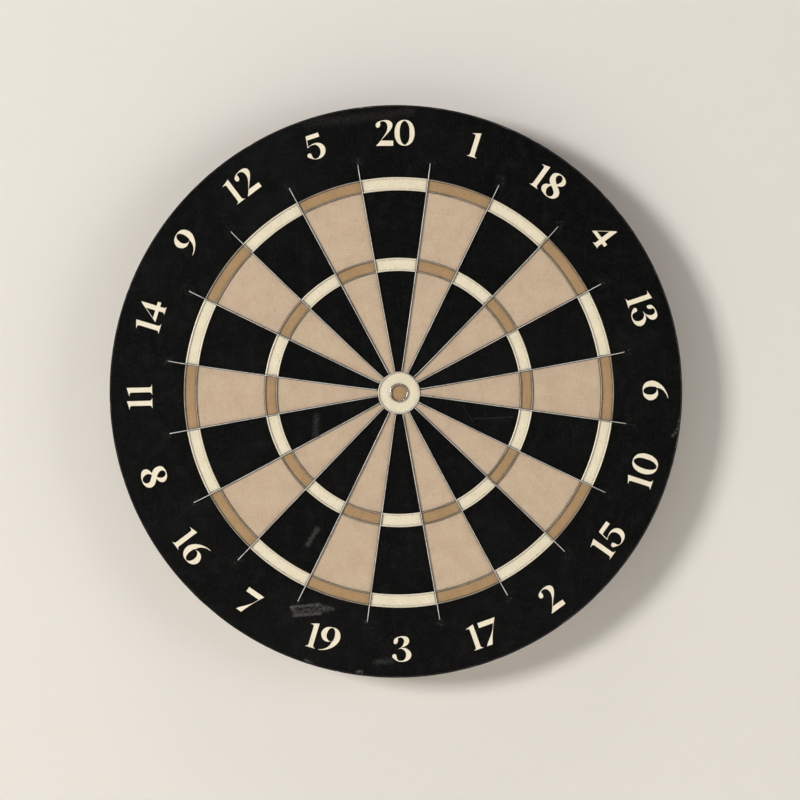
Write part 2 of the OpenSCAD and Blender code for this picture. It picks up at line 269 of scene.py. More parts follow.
# %% Group: grain
grain_settings = {"Across": 0.6 * MM, "Along": 14 * MM}
grain, grain_in, grain_out = new_group("grain", ["Vector"], grain_settings, ["Shade"])
grain_axes = axes(grain_in["Vector"])
grain_sizes = [grain_in["Across"], grain_in["Across"], grain_in["Along"]]
stretched = {k: calc("DIVIDE", grain_axes[k], grain_sizes[k]) for k in range(3)}
grain_point = put(grain, "CombineXYZ", stretched).outputs[0]
grain_noise = put(grain, "TexNoise", {"Vector": grain_point, "Scale": 1.0, "Detail": 3.0}).outputs[0]
fill(grain_out, {"Shade": grain_noise})


def grainy(vector, across, along):
    """The shade of grain with fibres of a width across and a length along, which is upright."""
    return use(grain, vector, Across=across, Along=along)["Shade"]


# %% [markdown]
# Clouds are for paint that has aged unevenly: soft patches of a given size, with the share of the
# surface that they take set by a threshold.

# %% Group: clouds
cloud_settings = {"Size": 30 * MM, "Low": 0.45, "High": 0.7, "Detail": 5.0}
clouds, clouds_in, clouds_out = new_group("clouds", ["Vector"], cloud_settings, ["Mask"])
cloud_sockets = {
    "Vector": clouds_in["Vector"],
    "Scale": calc("DIVIDE", 1.0, clouds_in["Size"]),
    "Detail": clouds_in["Detail"],
    "Roughness": 0.6,
}
cloud_noise = put(clouds, "TexNoise", cloud_sockets).outputs[0]
fill(clouds_out, {"Mask": soft_step(cloud_noise, clouds_in["Low"], clouds_in["High"])})


def cloudy(vector, size, low, high):
    """A mask of cloudy patches of a size. The higher low and high are, the less they cover."""
    return use(clouds, vector, Size=size, Low=low, High=high)["Mask"]


# %% [markdown]
# Specks of dust and pinholes are points scattered in cells: each cell of a Voronoi pattern holds one, and
# the cell's own random colour decides if it shows and how big it is. Stretched along one direction, the
# same specks become scratches, so the group takes the length and the slant too.

# %% Group: specks
speck_settings = {"Cell": 6 * MM, "Stretch": 1.0, "Slant": 0.0, "Share": 0.3, "Width": 0.05}
specks, specks_in, specks_out = new_group("specks", ["Vector"], speck_settings, ["Mask"])
turned = {"Vector": specks_in["Vector"], "Angle": specks_in["Slant"]}
slanted = axes(put(specks, "VectorRotate", turned, rotation_type="Y_AXIS").outputs[0])
cell_length = times(specks_in["Cell"], specks_in["Stretch"])
in_cells = {0: calc("DIVIDE", slanted[0], cell_length), 1: calc("DIVIDE", slanted[2], specks_in["Cell"])}
flat_point = put(specks, "CombineXYZ", in_cells).outputs[0]
cells = put(specks, "TexVoronoi", {"Vector": flat_point, "Scale": 1.0}, voronoi_dimensions="2D").outputs
cell_random = put(specks, "SeparateColor", {0: cells["Color"]}).outputs
speck_reach = times(specks_in["Width"], spread(cell_random[0], 0.4, 1.6))
speck_shape = soft_step(cells["Distance"], speck_reach, times(speck_reach, 0.4))
speck_chosen = calc("LESS_THAN", cell_random[1], specks_in["Share"])
speck_strength = spread(cell_random[2], 0.35, 1.0)
fill(specks_out, {"Mask": times(speck_shape, speck_chosen, speck_strength)})

# %% [markdown]
# A mark is one streak at a known place: a knock or a rub that this board really has. Its mask is the
# distance from the line between two points, softened at the sides and broken up by noise.

# %% Group: mark
mark_settings = {"Width": 2 * MM, "Broken": 0.5}
mark, mark_in, mark_out = new_group("mark", ["Vector", "Start", "End"], mark_settings, ["Mask"])


def vector_math(operation, first, second, output=0):
    """A Vector Math node's output inside the mark group."""
    return put(mark, "VectorMath", {0: first, 1: second}, operation=operation).outputs[output]


flat = vector_math("MULTIPLY", mark_in["Vector"], (1.0, 0.0, 1.0))
from_start = vector_math("SUBTRACT", flat, mark_in["Start"])
whole = vector_math("SUBTRACT", mark_in["End"], mark_in["Start"])
start_dot = vector_math("DOT_PRODUCT", from_start, whole, "Value")
along = calc("DIVIDE", start_dot, vector_math("DOT_PRODUCT", whole, whole, "Value"))
held = put(mark, "Clamp", {"Value": along}).outputs[0]
nearest = put(mark, "VectorMath", {0: whole, "Scale": held}, operation="SCALE").outputs[0]
mark_shape = soft_step(vector_math("DISTANCE", from_start, nearest, "Value"), mark_in["Width"], 0.0)
least = calc("SUBTRACT", mark_in["Broken"], 0.14)
mark_breaks = soft_step(noise(flat, 1.8 * MM, 5.0), least, plus(mark_in["Broken"], 0.2))
fill(mark_out, {"Mask": times(mark_shape, mark_breaks)})

# %% [markdown]
# Dirt and chipped ink gather beside the wires. This group works out how far a point of the face is from
# the nearest wire: the angle round the target is folded into one wedge and turned back into a length,
# and the four rings are plain differences of radius. It also tells the wedges with cream rings from the
# others: the sine of the angle, made to turn once in two wedges, is above zero in every second one.

# %% Group: wire distance
near_names = ["Distance", "Cream", "Tips"]
near_wires, near_in, near_out = new_group("wire distance", ["Vector"], {}, near_names)
near_axes = axes(near_in["Vector"])
off_x = calc("SUBTRACT", near_axes[0], float(target[0]))
off_z = calc("SUBTRACT", near_axes[2], float(target[1]))
radius = off_axis(off_x, off_z)
clockwise = plus(calc("ARCTAN2", off_x, off_z), 2 * math.pi)
folded = calc("PINGPONG", clockwise, wedge / 2)
to_radial = times(calc("SUBTRACT", wedge / 2, folded), radius)
in_bull = calc("LESS_THAN", radius, outer_bull_r + 1.5 * MM)
nearest_wire = plus(to_radial, in_bull)
for r in ring_r.values():
    nearest_wire = calc("MINIMUM", nearest_wire, calc("ABSOLUTE", calc("SUBTRACT", radius, r)))
end_points = np.empty(len(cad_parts["radial_wire_20_1"].data.vertices) * 3)
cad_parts["radial_wire_20_1"].data.vertices.foreach_get("co", end_points)
wire_end_r = np.linalg.norm(end_points.reshape(-1, 3)[:, [0, 2]] - target, axis=1).max()
tip_gap = calc("ABSOLUTE", calc("SUBTRACT", radius, wire_end_r + 2 * MM))
tip_near = times(soft_step(tip_gap, 8 * MM, 0.0), soft_step(to_radial, 6 * MM, 0.0))
half_turns = times(plus(clockwise, wedge / 2), math.pi / wedge)
cream_wedge = calc("GREATER_THAN", calc("SINE", half_turns), 0.0)
fill(near_out, {"Distance": nearest_wire, "Cream": cream_wedge, "Tips": tip_near})
print("node groups", sorted(g.name for g in bpy.data.node_groups))

# %% [markdown]
# ## Meshes from arrays
# Every new piece is a surface over two parameters: a row of points that is carried along a path. The
# points come out of numpy as whole arrays, and neighbouring rows are joined by quads.

# %% Mesh helpers
def quads_between(rows, columns, close_rows, close_columns):
    """Corner numbers of the quads between a grid's neighbouring points. Point (i, j) has the number
    i * columns + j, and a closed direction wraps round to its start."""
    i = np.arange(rows if close_rows else rows - 1)[:, None]
    j = np.arange(columns if close_columns else columns - 1)[None, :]
    next_i = (i + 1) % rows
    next_j = (j + 1) % columns
    corners = [i * columns + j, next_i * columns + j, next_i * columns + next_j, i * columns + next_j]
    return np.stack([c + 0 * (i + j) for c in corners], axis=-1).reshape(-1, 4)


def end_caps(rows, columns):
    """The two polygons that close a tube whose rows are closed rings."""
    first = list(range(columns))
    last = [(rows - 1) * columns + j for j in reversed(range(columns))]
    return [first, last]


def volume_of(points, faces):
    """The volume inside a closed mesh: the sum of the signed tetrahedra between the origin and each
    face's triangles. It is positive when the faces point outwards."""
    total = 0.0
    for size in {len(face) for face in faces}:
        same = points[np.array([face for face in faces if len(face) == size])]
        for k in range(1, size - 1):
            total += np.einsum("ij,ij->i", same[:, 0], np.cross(same[:, k], same[:, k + 1])).sum() / 6
    return total


def new_piece(name, points, faces, material, replaces=(), smooth=True, crest=None):
    """A piece from points (n, 3) and faces, turned to point outwards, which rides on the board and shows in
    place of the named nodes. crest gives each point a value that its finish can read."""
    faces = [list(map(int, face)) for face in faces]
    if volume_of(points, faces) < 0:
        faces = [face[::-1] for face in faces]
    mesh = bpy.data.meshes.new(name)
    mesh.from_pydata(points.tolist(), [], faces)
    mesh.polygons.foreach_set("use_smooth", [smooth] * len(faces))
    mesh.update()
    if crest is not None:
        mesh.attributes.new("crest", "FLOAT", "POINT").data.foreach_set("value", crest)
    piece = bpy.data.objects.new(name, mesh)
    bpy.context.scene.collection.objects.link(piece)
    mesh.materials.append(material)
    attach(piece, "board")
    if replaces:
        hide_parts(*replaces)


def on_face(flat_points, height):
    """Points (x, z) on the face, at a height off it, as points (x, y, z)."""
    y = face_y - np.broadcast_to(height, flat_points.shape[:-1])
    return np.stack([flat_points[..., 0], y, flat_points[..., 1]], axis=-1)


# %% [markdown]
# ## Wire
# The wires are drawn steel, galvanised and gone dull. The front of each wire's section is painted light, a
# painted highlight, and its sides are painted dark, painted shade, so from the front each is a thin light
# line between two dark ones.
# Each point of a wire carries its crest: 1 at the front of the wire's section and 0 at its sides. The
# radial wires lie on top and are the brightest, the ring wires under them are duller, and the bull's
# inner ring is thick and shiny.

# %% Finish: wires
def wire_metal(name, bright, dull, painted_flank_shade, metallic, rough, painted_cream_bounce=None):
    """Wire whose front shows the metal in bright or dull, in patches, as a painted highlight, and whose
    sides take a painted shade colour of their own. Where it crosses a cream field, the front half of its
    section may take a cream colour of its own, painted bounce light from the ink."""
    material, shader, here = new_material(name)
    crest = put(here.id_data, "Attribute", attribute_name="crest").outputs["Fac"]
    tarnish = cloudy(here, 3 * MM, 0.5, 0.74)
    patches = cloudy(here, 18 * MM, 0.42, 0.66)
    metal = tint(patches, bright, dull)
    metal = tint(tarnish, metal, screen(96, 92, 84), 0.6)
    # Painted highlight and shade: the front stripe of the section keeps the metal's tone, and the sides
    # take the painted flank shade.
    metal = tint(soft_step(crest, 0.98, 0.86), metal, painted_flank_shade)
    # Painted bounce light: in the cream wedges the front half of the section is tinted cream, as light
    # bounced off the cream ink would tint it.
    if painted_cream_bounce:
        cream = use(near_wires, here)["Cream"]
        metal = tint(times(cream, soft_step(crest, 0.0, 0.35)), metal, painted_cream_bounce)
    fill(shader, {
        "Base Color": metal,
        "Metallic": metallic,
        "Roughness": spread(tarnish, rough, rough + 0.25),
    })
    emboss(shader, noise(here, 0.5 * MM, 4.0), 0.04 * MM, 0.5)
    return material


radial_tones = [screen(236, 235, 228), screen(196, 195, 188), screen(48, 45, 40)]
ring_tones = [screen(186, 180, 166), screen(140, 134, 120), screen(92, 84, 70)]
outer_bull_tones = [screen(236, 234, 226), screen(214, 211, 202), screen(142, 138, 127)]
bull_tones = [screen(232, 232, 228), screen(212, 210, 204), screen(128, 122, 110)]
radial_finish = wire_metal("radial wire", *radial_tones, 0.3, 0.45)
ring_finish = wire_metal("ring wire", *ring_tones, 0.3, 0.45, screen(228, 219, 196))
outer_bull_finish = wire_metal("outer bull wire", *outer_bull_tones, 0.3, 0.4)
bull_finish = wire_metal("inner bull wire", *bull_tones, 1.0, 0.27)

# %% [markdown]
# A ring is one length of wire bent round with its ends butted, so it is a tube whose middle line is a
# circle that is a hair out of round, with a narrow pinch where the ends meet. The tube's section is a
# circle carried along that line.

# %% Tube
rng = np.random.default_rng(20)
tube_sides = 16
section = np.linspace(0, 2 * math.pi, tube_sides, endpoint=False)


def tube(path, side, out, half_wide, half_high, closed):
    """A tube round a path (n, 3): at each point stands an ellipse, half_wide along the side vector and
    half_high along the out vector. Point = path + cos v * half_wide * side + sin v * half_high * out.
    Returns the points and the faces, with end caps if the path is open."""
    v = section[None, :, None]
    points = (
        path[:, None, :]
        + np.cos(v) * half_wide[:, None, None] * side[:, None, :]
        + np.sin(v) * half_high[:, None, None] * out[:, None, :]
    )
    faces = quads_between(len(path), tube_sides, closed, True).tolist()
    if not closed:
        faces += end_caps(len(path), tube_sides)
    return points.reshape(-1, 3), faces


def wire_piece(node, name, points, faces, finish):
    """A piece made of tubes in place of a packed wire. The crest of every point is sin v."""
    crest = np.tile(np.sin(section), len(points) // tube_sides)
    new_piece(name, points, faces, finish, replaces=[node], crest=crest)


FORWARD = np.array([0.0, -1.0, 0.0])
wave_height = 0.035 * MM
pinch_share = 0.25
pinch_reach = 0.5 * MM


def ring_tube(centre, ring_radius, half, joint_angle, steps=720):
    """A wire ring that lies on the face. The radius wanders by a tenth of a millimetre in three slow
    waves, and the wire narrows by a quarter within half a millimetre of the joint."""
    angle = np.linspace(0, 2 * math.pi, steps, endpoint=False)
    waves = sum(np.sin(n * angle + rng.uniform(0, 6)) for n in (2, 3, 5)) * wave_height
    off_joint = np.abs((angle - joint_angle + math.pi) % (2 * math.pi) - math.pi) * ring_radius
    thick = half * (1 - pinch_share * np.exp(-((off_joint / pinch_reach) ** 2)))
    away = outwards(angle)
    path = on_face(centre + away * (ring_radius + waves)[:, None], half)
    side = np.stack([away[:, 0], np.zeros(steps), away[:, 1]], axis=-1)
    return tube(path, side, np.broadcast_to(FORWARD, path.shape), thick, thick, True)


JOINT_DEGREES = (100, 205, 24, 312)
wire_pieces = 0
for node, joint_degrees in zip(RING_NODES, JOINT_DEGREES):
    points, faces = ring_tube(target, ring_r[node], wire_r, math.radians(joint_degrees))
    wire_piece(node, node.replace("ring", "wire"), points, faces, ring_finish)
    wire_pieces += 1
print("ring wires", wire_pieces)

# %% [markdown]
# A radial wire is a long staple. Both ends turn down into the board. Where it passes over a ring it was
# rolled flat, so that it fits on top of the ring without standing higher than the rest. Its path is made
# in two coordinates, how far out it is and how high it is, and then laid along its own direction.

# %% Radial wires
bull_lift = 0.4 * MM
leg_depth = 6 * MM
bend_r = 1.0 * MM
press_reach = 0.9 * MM
press_flat = 0.4
press_wide = 0.3
press_lift = 0.32
run_rows = 60


def leg_ends(node, angle):
    """How far from the target's centre a radial wire's two legs stand. Its box is that of the two legs,
    so each corner lies half a wire outside a leg's middle."""
    low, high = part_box(node)
    reach = np.array([[low.x + wire_r, low.z + wire_r], [high.x - wire_r, high.z - wire_r]])
    direction = outwards(np.array(angle))
    widest = int(np.argmax(np.abs(direction)))
    ends = (reach[:, widest] - target[widest]) / direction[widest]
    return float(ends.min()), float(ends.max())


# How far clockwise each wire's run lies off its place, in mm, starting at the wire between 20 and 1
RUN_OFF = [0.4, -0.1, 0.9, 0.1, 0.9, -0.1, 0.5, -0.2, 0.3, -0.3]
RUN_OFF += [0.2, -0.3, 0.2, -0.9, 0.1, -0.9, -0.2, -0.7, 0, -0.4]


def staple(start, end, angle, off):
    """A radial wire: leg up, quarter bend, straight run, quarter bend, leg down. Its legs are in their
    holes, but its run was knocked sideways by off: at a share u of its length it lies off by
    off * sin(pi u) ** 0.35. Within a millimetre of a ring the section is pressed to 60% of its height and
    spreads sideways."""
    bend = np.linspace(0, math.pi / 2, 7)[1:-1]
    near_rings = np.concatenate([r + np.linspace(-3, 3, 25) * MM for r in ring_r.values()])
    run = np.concatenate([np.linspace(start + bend_r, end - bend_r, run_rows), near_rings])
    run = np.unique(run[(run >= start + bend_r) & (run <= end - bend_r)].round(6))
    top = wire_r + bull_lift
    drop = top - bend_r
    inward = bend_r * (1 - np.cos(bend))
    risen = drop + bend_r * np.sin(bend)
    leg = [-leg_depth, -leg_depth / 2, drop]
    out = np.concatenate([[start] * 3, start + inward, run, (end - inward)[::-1], [end] * 3])
    up = np.concatenate([leg, risen, np.full(len(run), top), risen[::-1], leg[::-1]])
    off_ring = np.min([np.abs(out - r) for r in ring_r.values()], axis=0)
    pressed = np.exp(-((off_ring / press_reach) ** 4)) * (up > 0)
    half_high = wire_r * (1 - press_flat * pressed)
    half_wide = wire_r * (1 + press_wide * pressed)
    up = up + press_lift * wire_r * pressed
    direction = outwards(np.array(angle))
    across = np.array([direction[1], -direction[0]])
    sideways = off * np.sin(math.pi * np.clip((out - start) / (end - start), 0, 1)).clip(0) ** 0.35
    path = on_face(target + out[:, None] * direction + sideways[:, None] * across, up)
    ahead = np.gradient(path, axis=0)
    ahead /= np.linalg.norm(ahead, axis=1)[:, None]
    side = np.broadcast_to(np.array([across[0], 0.0, across[1]]), path.shape)
    return tube(path, side, np.cross(side, ahead), half_wide, half_high, False)


wire_ends = []
for i in range(len(SCORES)):
    angle = (i + 0.5) * wedge
    node = "radial_wire_" + pair_name(i)
    start, end = leg_ends(node, angle)
    wire_ends.append(end)
    points, faces = staple(start, end, angle, RUN_OFF[i] * MM)
    wire_piece(node, "wire_" + pair_name(i), points, faces, radial_finish)
print("radial wires end at", round(min(wire_ends), 4), "to", round(max(wire_ends), 4))

# %% [markdown]
# The two bull rings are staples as well: closed rings with straight prongs behind them. The prongs stay
# in the board, so the ring that shows is a tube like the others, and two short stubs beside the inner
# ring show where its prongs go in.

# %% Bull rings
prong_r = 0.5 * MM
prong_heights = [-leg_depth, 0.0, 0.35 * MM, 0.5 * MM]
prong_shares = [1.0, 1.0, 0.9, 0.5]


def prong(at):
    """A straight pin into the face at (x, z), with a slightly domed end on the outside."""
    half = prong_r * np.array(prong_shares)
    path = on_face(np.broadcast_to(at, (len(half), 2)), np.array(prong_heights))
    side = np.broadcast_to(np.array([1.0, 0.0, 0.0]), path.shape)
    return tube(path, side, np.broadcast_to(np.array([0.0, 0.0, 1.0]), path.shape), half, half, False)


def joined(parts):
    """One set of points and faces from several."""
    points = np.concatenate([p for p, _ in parts])
    starts = np.cumsum([0] + [len(p) for p, _ in parts[:-1]])
    faces = [[corner + int(s) for corner in face] for s, (_, fs) in zip(starts, parts) for face in fs]
    return points, faces


for node, radius_here, half, angles, finish in (
    ("bull_ring_outer", outer_bull_r, wire_r, (45, 135, 225, 315), outer_bull_finish),
    ("bull_ring_inner", inner_bull_r, bull_wire_d / 2, (0, 180), bull_finish),
):
    at_r = radius_here + (half if half > wire_r else 0)
    pins = [prong(bull + at_r * outwards(np.array(math.radians(a)))) for a in angles]
    points, faces = joined([ring_tube(bull, radius_here, half, math.radians(150), 240), *pins])
    wire_piece(node, node.replace("ring", "wire"), points, faces, finish)
print("bull wires at", bull.round(5))

# %% [markdown]
# ## Ink
# The face is black all over. The beige wedges, the brown and cream rings, the bull and the scores are
# printed on it in thick ink, each colour in its own pass. The fields part where the wires' runs lie, and
# the beige ones leave a little black at one edge. A patch of ink is a flat bar: a rectangular section
# that is carried round an arc.

# %% Ink patches
ink_depth = 0.05 * MM
ink_sink = 0.03 * MM


def ink_patch(centre, inner, outer, start, end, gaps=(0, 0), thick=ink_depth, step=math.radians(0.5)):
    """A closed slab between two radii and two angles. Its section is a rectangle from just under the
    face to the top of the ink. Its edges stay a gap short of the two angles: at a radius r, a gap turns
    the edge in by gap / r. A full turn closes on itself and needs no end caps."""
    full = end - start > 2 * math.pi - 1e-6
    count = max(3, int(round((end - start) / step)) + (0 if full else 1))
    share = np.linspace(0, 1, count, endpoint=not full)[:, None]
    section_r = np.array([inner, outer, outer, inner])
    section_h = np.array([-ink_sink, -ink_sink, thick, thick])
    first = start + gaps[0] / section_r
    angle = first + (end - gaps[1] / section_r - first) * share
    flat_points = centre + outwards(angle) * section_r[None, :, None]
    points = on_face(flat_points, np.broadcast_to(section_h, (count, 4))).reshape(-1, 3)
    faces = quads_between(count, 4, full, True).tolist()
    if not full:
        faces += end_caps(count, 4)
    return points, faces


def ink_disc(centre, outer, thick, count=96):
    """A round slab: two polygons and a wall of quads."""
    away = outwards(np.linspace(0, 2 * math.pi, count, endpoint=False))
    rims = [on_face(centre + away * outer, h) for h in (-ink_sink, thick)]
    faces = quads_between(2, count, False, True).tolist() + end_caps(2, count)
    return np.concatenate(rims), faces


# The printed wedges part where the wires' runs lie, and the ink leaves a little black beside them: partly a
# gap in the print, partly painted shadow of the wires.
print_shift = np.array([0.1, 0.05]) * MM
print_centre = target + print_shift
bull_paint_r = 13 * MM
# The black strip that this leaves at a beige wedge's first edge is partly painted shadow of the wire.
beige_gap = 0.5 * MM


def wedge_print(bands, odd, gap):
    """All patches of one colour: each band of two radii in every second wedge. The gap is at the wedge's
    first edge only, and the black that it bares there is partly a gap in the print and partly painted
    shadow of the wire."""
    edges = {k: (gap + RUN_OFF[k - 1] * MM, -RUN_OFF[k] * MM) for k in range(len(SCORES))}
    return joined(
        [
            ink_patch(print_centre, inner, outer, (k - 0.5) * wedge, (k + 0.5) * wedge, edges[k])
            for k in range(odd, len(SCORES), 2)
            for inner, outer in bands
        ]
    )


ring_bands = [(treble_in_r, treble_out_r), (double_in_r, double_out_r)]
single_bands = [(bull_paint_r, treble_in_r), (treble_out_r, double_in_r)]
bull_ink = {"thick": 1.6 * ink_depth, "step": math.radians(3)}
beige_points, beige_faces = wedge_print(single_bands, 1, beige_gap)
brown_points, brown_faces = joined(
    [wedge_print(ring_bands, 1, 0), ink_disc(bull, inner_bull_r, bull_ink["thick"])]
)
cream_points, cream_faces = joined(
    [
        wedge_print(ring_bands, 0, 0),
        ink_patch(bull, inner_bull_r, outer_bull_r, 0, 2 * math.pi, **bull_ink),
    ]
)
print("ink points", len(beige_points), len(brown_points), len(cream_points))

# %% [markdown]
# The inks share one recipe. The colour varies a little with the fibre under it, the wires have left dark
# chips beside them, a dark line right along each wire is partly dirt and partly painted shadow of the wire,
# and there are pinholes and a few long scratches.

# %% Finish: inks
def ink_finish(name, colour, shade, chip_share, shade_and_dirt):
    """An ink of a colour that drifts towards its shade, with chips beside the wires and a dark line along
    them that is partly dirt and partly painted shadow.
    """
    material, shader, here = new_material(name)
    drift = cloudy(here, 13 * MM, 0.34, 0.7)
    fibre = grainy(here, 0.9 * MM, 9 * MM)
    mottled = noise(here, 1.6 * MM, 4.0)
    speckled = soft_step(noise(here, 1.1 * MM, 3.0), 0.34, 0.66)
    tone = times(plus(drift, fibre, speckled), 0.33)
    base = tint(tone, colour, shade)
    wires = use(near_wires, here)
    beside = soft_step(wires["Distance"], 1.7 * MM, 0.7 * MM)
    chip_noise = noise(here, 0.8 * MM, 4.0)
    chips = times(beside, soft_step(chip_noise, 0.58 - chip_share, 0.66 - chip_share))
    # Partly painted shadow, partly dirt: a dark line right along each wire, in patches.
    groove = soft_step(wires["Distance"], 1.05 * MM, 0.6 * MM)
    shadow_and_dirt_line = times(groove, shade_and_dirt, soft_step(mottled, 0.3, 0.5))
    # From here chips holds the painted shadow line as well as the chips.
    chips = calc("MAXIMUM", chips, shadow_and_dirt_line)
    pinholes = use(specks, here, Cell=7 * MM, Share=0.4, Width=0.05)["Mask"]
    scratched = use(specks, here, Cell=9 * MM, Stretch=5.0, Slant=0.9, Share=0.14, Width=0.02)["Mask"]
    soiled_and_shaded = tint(chips, base, screen(66, 58, 48), 0.85)
    soiled_and_shaded = tint(pinholes, soiled_and_shaded, screen(70, 60, 48), 0.6)
    soiled_and_shaded = tint(scratched, soiled_and_shaded, screen(120, 104, 84), 0.35)
    fill(shader, {
        "Base Color": soiled_and_shaded,
        "Roughness": spread(mottled, 0.5, 0.75),
        "Specular IOR Level": 0.3,
    })
    relief = plus(times(fibre, 0.5), times(mottled, 0.5))
    emboss(shader, calc("SUBTRACT", relief, chips), 0.05 * MM, 0.5)
    return material


beige_ink = ink_finish("beige ink", screen(205, 183, 157), screen(181, 156, 131), 0.0, 1.0)
brown_ink = ink_finish("brown ink", screen(178, 145, 106), screen(152, 123, 86), 0.02, 0.8)
cream_ink = ink_finish("cream ink", screen(239, 229, 204), screen(217, 204, 176), 0.02, 0.35)
new_piece("beige_print", beige_points, beige_faces, beige_ink, smooth=False)
new_piece("brown_print", brown_points, brown_faces, brown_ink, smooth=False)
new_piece("cream_print", cream_points, cream_faces, cream_ink, smooth=False)

# %% [markdown]
# ## Scores
# The scores are old-style numerals with thick and thin strokes and ball ends. Each digit is an outline on
# a grid where the digit is 100 high. Round points are in round brackets and corners in square ones. A
# curve smooths the round points, fills the outline and gives it a thickness, and the result is a mesh
# before it is put in its place.

# %% Digit outlines
DIGITS = {
    "0": [
        [(0, 50), (4, 26), (17, 7), (39, 0), (61, 7), (74, 26), (78, 50), (74, 74), (61, 93), (39, 100),
         (17, 93), (4, 74)],
        [(21, 50), (24, 25), (31, 10), (39, 5), (47, 10), (55, 25), (57, 50), (55, 75), (47, 90),
         (39, 95), (31, 90), (24, 75)],
    ],
    "1": [
        [[0, 90], [34, 100], [34, 60], [34, 12], (37, 6), [44, 3], [44, 1], [4, 1], [4, 3], (12, 7),
         [14, 14], [14, 60], [14, 80], (12, 86), [0, 88]],
    ],
    "2": [
        [(1, 80), (4, 88), (12, 94), (25, 98), (40, 100), (55, 97), (65, 88), (66, 76), (58, 60),
         (43, 43), (32, 31), [23, 22], [69, 21], [69, 0], [3, 0], [3, 3], (12, 12), (28, 33), (40, 51),
         (45, 64), (46, 74), (43, 86), (35, 93), (26, 94), [19, 92], (20, 84), (18, 75), (12, 70), (4, 72)],
    ],
    "3": [
        [(7, 78), (10, 87), (19, 94), (31, 98), (45, 99), (57, 97), (66, 88), (67, 75), (58, 63),
         [39, 55], (53, 53), (66, 45), (74, 34), (74, 19), (63, 6), (50, 1), (37, 0), (24, 2), (10, 10),
         (1, 21), (3, 28), (10, 31), (17, 28), [19, 20], (23, 9), (34, 5), (45, 8), (52, 17), (54, 29),
         (49, 42), [37, 50], [24, 49], [24, 51], [33, 54], (42, 64), (47, 78), (44, 88), (36, 93),
         [25, 91], (25, 82), (22, 73), (14, 68), (8, 71)],
    ],
    "4": [
        [[57, 99], [62, 100], [62, 40], [78, 40], [78, 25], [62, 25], [62, 10], (64, 5), [70, 1], [33, 1],
         (40, 5), [43, 10], [43, 25], [0, 25], [0, 28]],
        [[14, 40], [42, 40], [42, 75]],
    ],
    "5": [
        [[19, 98], [70, 98], [70, 80], [21, 80], [17, 57], (29, 61), (43, 63), (58, 60), (71, 50),
         (77, 33), (73, 17), (61, 5), (43, 0), (28, 2), (13, 10), (2, 21), (4, 29), (11, 32), (18, 29),
         [20, 20], (24, 8), (33, 5), (44, 9), (53, 20), (56, 34), (53, 46), (45, 55), (35, 57), (24, 56),
         [16, 52], [12, 52]],
    ],
    "6": [
        [[75, 99], (60, 97), (42, 90), (24, 78), (9, 60), (2, 42), (3, 26), (12, 9), (26, 1), (40, 0),
         (57, 3), (71, 13), (78, 31), (74, 45), (64, 56), (48, 60), [30, 54], (35, 71), (50, 87), [72, 97]],
        [[27, 51], (38, 54), (48, 49), (54, 39), (55, 25), (51, 11), (42, 4), (33, 8), (27, 20), (25, 35)],
    ],
    "7": [
        [[2, 98], [74, 98], (62, 76), (50, 50), (40, 25), [32, 1], [7, 1], (15, 13), (33, 34), (48, 55),
         [59, 77], [2, 77]],
    ],
    "8": [
        [(40, 100), (55, 97), (67, 88), (71, 76), (66, 65), [51, 55], (65, 46), (74, 33), (73, 17),
         (60, 4), (40, 0), (20, 3), (6, 11), (1, 24), (6, 36), [22, 46], (11, 58), (7, 73), (10, 88),
         (24, 98)],
        [(40, 95), (31, 92), (27, 83), (31, 72), [43, 60], (49, 68), (52, 80), (48, 91)],
        [[30, 43], (44, 34), (53, 25), (53, 13), (44, 5), (34, 6), (25, 17), (23, 30)],
    ],
}
GRID_HEIGHT = 100
SIX_WIDTH = 78
DIGITS["9"] = [
    [type(p)((SIX_WIDTH - p[0], GRID_HEIGHT - p[1])) for p in contour] for contour in DIGITS["6"]
]
PAIR_GAPS = {10: 10, 11: 7, 12: 9, 13: 3, 14: 0, 15: 3, 16: 7, 17: 4, 18: 4, 19: 5, 20: 4}
print("digits", sorted(DIGITS), "points", sum(len(c) for d in DIGITS.values() for c in d))


# %% [markdown]
# A score of two digits sets them side by side with a gap of its own, because the digits lean into each
# other by eye. The top half of the board has its scores standing on the target, and the lower half has
# them hanging from it, so that all of them read from the front.

# %% Score meshes
digit_height = 20.6 * MM
ink_shrink = 0.8
score_r = 203.1 * MM
score_centre = np.array([1.3, 0.35]) * MM
score_turn = math.radians(0.35)
# For each score, how far along the arc, clockwise, it sits off its place, in mm
SCORE_SLIP = {20: 1, 1: 1, 18: 2.5, 4: -1, 13: 1, 6: 2.5, 10: 3, 15: 0.5, 2: 1.5, 17: -2.5, 3: 0, 19: -1.5,
              7: -0.5, 16: -1, 8: -1.5, 11: -2, 14: -1, 9: 0.5, 12: -1.5, 5: 0}
UPRIGHT = {10, 15, 2, 17, 3, 19, 7, 16, 8}


def digit_width(digit):
    """How wide a digit is on its grid."""
    return max(point[0] for contour in DIGITS[digit] for point in contour)


def outline_curve(contours, thick):
    """A filled flat curve from outlines: AUTO handles at round points, VECTOR handles at corners. The
    offset draws every outline in by ink_shrink on the grid, as thin ink does at its edges."""
    curve = bpy.data.curves.new("outline", "CURVE")
    curve.dimensions = "2D"
    curve.fill_mode = "BOTH"
    curve.resolution_u = 8
    curve.extrude = thick
    curve.offset = -ink_shrink
    for contour in contours:
        spline = curve.splines.new("BEZIER")
        spline.bezier_points.add(len(contour) - 1)
        spline.use_cyclic_u = True
        for point, (x, y) in zip(spline.bezier_points, contour):
            point.co = (x, y, 0)
        for point, given in zip(spline.bezier_points, contour):
            kind = "VECTOR" if isinstance(given, list) else "AUTO"
            point.handle_left_type = kind
            point.handle_right_type = kind
    return curve


